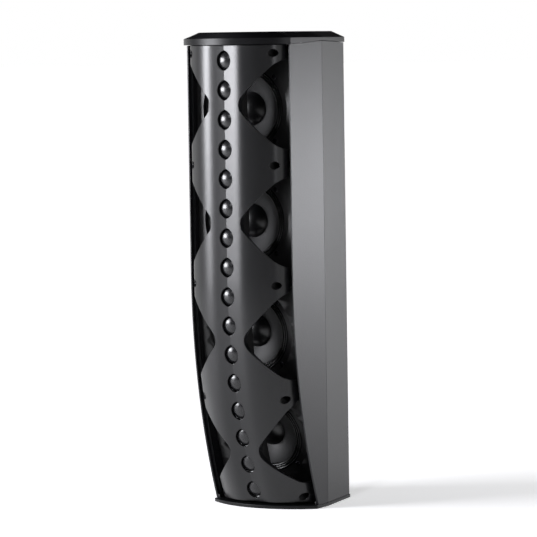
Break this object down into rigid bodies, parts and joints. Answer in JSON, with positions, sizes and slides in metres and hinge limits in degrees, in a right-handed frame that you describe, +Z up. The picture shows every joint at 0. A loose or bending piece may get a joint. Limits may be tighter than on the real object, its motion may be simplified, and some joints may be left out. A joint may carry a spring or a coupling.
{
  "type": "column loudspeaker",
  "caption": "Tall passive column loudspeaker with a sculpted fascia over a curved line of small dome tweeters and larger woofers, its grille off and its foot swept back.",
  "frame": {"origin": "middle of the footprint at floor level", "axes": "+Z up, -Y out of the front, +X to the right seen from behind"},
  "size_m": [0.18, 0.228, 0.695],
  "materials": {
    "cabinet_plastic": "satin fine-textured paint on moulded ABS",
    "cap_plastic": "satin moulded ABS",
    "fascia_plastic": "satin moulded ABS",
    "chamber_plastic": "matte",
    "baffle_board": "black painted fibreboard",
    "cast_frame": "black painted die casting",
    "steel_screw": "black oxide",
    "surround_rubber": "gloss butyl",
    "cone_paper": "satin coated",
    "dust_cap": "satin",
    "coil": "copper clad winding on former",
    "motor_steel": "zinc plated",
    "tweeter_motor": "plated",
    "dome": "gloss film dome",
    "spider_cloth": "impregnated cloth",
    "panel_plastic": "matte",
    "connector_plastic": "satin",
    "knob_plastic": "satin",
    "circuit_board": "solder mask",
    "components": "coils, capacitors and transformer",
    "brass_insert": "machined"
  },
  "bodies": {
    "cabinet": {"front_shell": "cabinet_plastic", "rear_shell": "cabinet_plastic", "top_cap": "cap_plastic", "bottom_cap": "cap_plastic", "fascia": "fascia_plastic", "tweeter_spine": "chamber_plastic", "baffle": "baffle_board", "fascia_screws": "steel_screw", "woofer_screws": "steel_screw", "tweeter_bodies": "tweeter_motor", "woofer_spiders": "spider_cloth", "input_panel": "panel_plastic", "panel_screws": "steel_screw", "terminal_socket": "connector_plastic", "crossover_board": "circuit_board", "crossover_parts": "components", "bracket_inserts": "brass_insert", "woofer_frame_1": "cast_frame", "woofer_surround_1": "surround_rubber", "woofer_magnet_1": "motor_steel", "woofer_frame_2": "cast_frame", "woofer_surround_2": "surround_rubber", "woofer_magnet_2": "motor_steel", "woofer_frame_3": "cast_frame", "woofer_surround_3": "surround_rubber", "woofer_magnet_3": "motor_steel", "woofer_frame_4": "cast_frame", "woofer_surround_4": "surround_rubber", "woofer_magnet_4": "motor_steel"},
    "tweeter_01": {"tweeter_dome_01": "dome"},
    "tweeter_02": {"tweeter_dome_02": "dome"},
    "tweeter_03": {"tweeter_dome_03": "dome"},
    "tweeter_04": {"tweeter_dome_04": "dome"},
    "tweeter_05": {"tweeter_dome_05": "dome"},
    "tweeter_06": {"tweeter_dome_06": "dome"},
    "tweeter_07": {"tweeter_dome_07": "dome"},
    "tweeter_08": {"tweeter_dome_08": "dome"},
    "tweeter_09": {"tweeter_dome_09": "dome"},
    "tweeter_10": {"tweeter_dome_10": "dome"},
    "tweeter_11": {"tweeter_dome_11": "dome"},
    "tweeter_12": {"tweeter_dome_12": "dome"},
    "tweeter_13": {"tweeter_dome_13": "dome"},
    "tweeter_14": {"tweeter_dome_14": "dome"},
    "tweeter_15": {"tweeter_dome_15": "dome"},
    "tweeter_16": {"tweeter_dome_16": "dome"},
    "woofer_1": {"woofer_cone_1": "cone_paper", "dust_cap_1": "dust_cap", "voice_coil_1": "coil"},
    "woofer_2": {"woofer_cone_2": "cone_paper", "dust_cap_2": "dust_cap", "voice_coil_2": "coil"},
    "woofer_3": {"woofer_cone_3": "cone_paper", "dust_cap_3": "dust_cap", "voice_coil_3": "coil"},
    "woofer_4": {"woofer_cone_4": "cone_paper", "dust_cap_4": "dust_cap", "voice_coil_4": "coil"},
    "plug": {"terminal_plug": "connector_plastic"},
    "tap_selector": {"tap_knob": "knob_plastic"},
    "voicing_switch": {"voicing_slider": "knob_plastic"}
  },
  "joints": [
    {"name": "tweeter_01_stroke", "type": "slide", "parent": "cabinet", "child": "tweeter_01", "axis": [0, -1, 0], "range_m": [-0.0003, 0.0003], "stiffness_N_per_m": 500},
    {"name": "tweeter_02_stroke", "type": "slide", "parent": "cabinet", "child": "tweeter_02", "axis": [0, -1, 0], "range_m": [-0.0003, 0.0003], "stiffness_N_per_m": 500},
    {"name": "tweeter_03_stroke", "type": "slide", "parent": "cabinet", "child": "tweeter_03", "axis": [0, -1, 0], "range_m": [-0.0003, 0.0003], "stiffness_N_per_m": 500},
    {"name": "tweeter_04_stroke", "type": "slide", "parent": "cabinet", "child": "tweeter_04", "axis": [0, -1, 0], "range_m": [-0.0003, 0.0003], "stiffness_N_per_m": 500},
    {"name": "tweeter_05_stroke", "type": "slide", "parent": "cabinet", "child": "tweeter_05", "axis": [0, -1, 0], "range_m": [-0.0003, 0.0003], "stiffness_N_per_m": 500},
    {"name": "tweeter_06_stroke", "type": "slide", "parent": "cabinet", "child": "tweeter_06", "axis": [0, -1, 0], "range_m": [-0.0003, 0.0003], "stiffness_N_per_m": 500},
    {"name": "tweeter_07_stroke", "type": "slide", "parent": "cabinet", "child": "tweeter_07", "axis": [0, -1, 0], "range_m": [-0.0003, 0.0003], "stiffness_N_per_m": 500},
    {"name": "tweeter_08_stroke", "type": "slide", "parent": "cabinet", "child": "tweeter_08", "axis": [0, -1, 0], "range_m": [-0.0003, 0.0003], "stiffness_N_per_m": 500},
    {"name": "tweeter_09_stroke", "type": "slide", "parent": "cabinet", "child": "tweeter_09", "axis": [0, -0.9993, -0.0364], "range_m": [-0.0003, 0.0003], "stiffness_N_per_m": 500},
    {"name": "tweeter_10_stroke", "type": "slide", "parent": "cabinet", "child": "tweeter_10", "axis": [0, -0.9961, -0.0883], "range_m": [-0.0003, 0.0003], "stiffness_N_per_m": 500},
    {"name": "tweeter_11_stroke", "type": "slide", "parent": "cabinet", "child": "tweeter_11", "axis": [0, -0.9902, -0.14], "range_m": [-0.0003, 0.0003], "stiffness_N_per_m": 500},
    {"name": "tweeter_12_stroke", "type": "slide", "parent": "cabinet", "child": "tweeter_12", "axis": [0, -0.9815, -0.1913], "range_m": [-0.0003, 0.0003], "stiffness_N_per_m": 500},
    {"name": "tweeter_13_stroke", "type": "slide", "parent": "cabinet", "child": "tweeter_13", "axis": [0, -0.9703, -0.242], "range_m": [-0.0003, 0.0003], "stiffness_N_per_m": 500},
    {"name": "tweeter_14_stroke", "type": "slide", "parent": "cabinet", "child": "tweeter_14", "axis": [0, -0.9564, -0.2922], "range_m": [-0.0003, 0.0003], "stiffness_N_per_m": 500},
    {"name": "tweeter_15_stroke", "type": "slide", "parent": "cabinet", "child": "tweeter_15", "axis": [0, -0.9399, -0.3415], "range_m": [-0.0003, 0.0003], "stiffness_N_per_m": 500},
    {"name": "tweeter_16_stroke", "type": "slide", "parent": "cabinet", "child": "tweeter_16", "axis": [0, -0.9208, -0.3899], "range_m": [-0.0003, 0.0003], "stiffness_N_per_m": 500},
    {"name": "woofer_1_stroke", "type": "slide", "parent": "cabinet", "child": "woofer_1", "axis": [0, -1, 0], "range_m": [-0.004, 0.004], "stiffness_N_per_m": 1500},
    {"name": "woofer_2_stroke", "type": "slide", "parent": "cabinet", "child": "woofer_2", "axis": [0, -1, 0], "range_m": [-0.004, 0.004], "stiffness_N_per_m": 1500},
    {"name": "woofer_3_stroke", "type": "slide", "parent": "cabinet", "child": "woofer_3", "axis": [0, -0.9935, -0.1142], "range_m": [-0.004, 0.004], "stiffness_N_per_m": 1500},
    {"name": "woofer_4_stroke", "type": "slide", "parent": "cabinet", "child": "woofer_4", "axis": [0, -0.9484, -0.317], "range_m": [-0.004, 0.004], "stiffness_N_per_m": 1500},
    {"name": "plug_pull", "type": "slide", "parent": "cabinet", "child": "plug", "axis": [0, 1, 0], "range_m": [0, 0.014]},
    {"name": "tap_turn", "type": "hinge", "parent": "cabinet", "child": "tap_selector", "pos_m": [-0.02, 0.1, 0.27707], "axis": [0, 1, 0], "range_deg": [-60, 60]},
    {"name": "voicing_slide", "type": "slide", "parent": "cabinet", "child": "voicing_switch", "axis": [0, 0, 1], "range_m": [0, 0.004]}
  ]
}
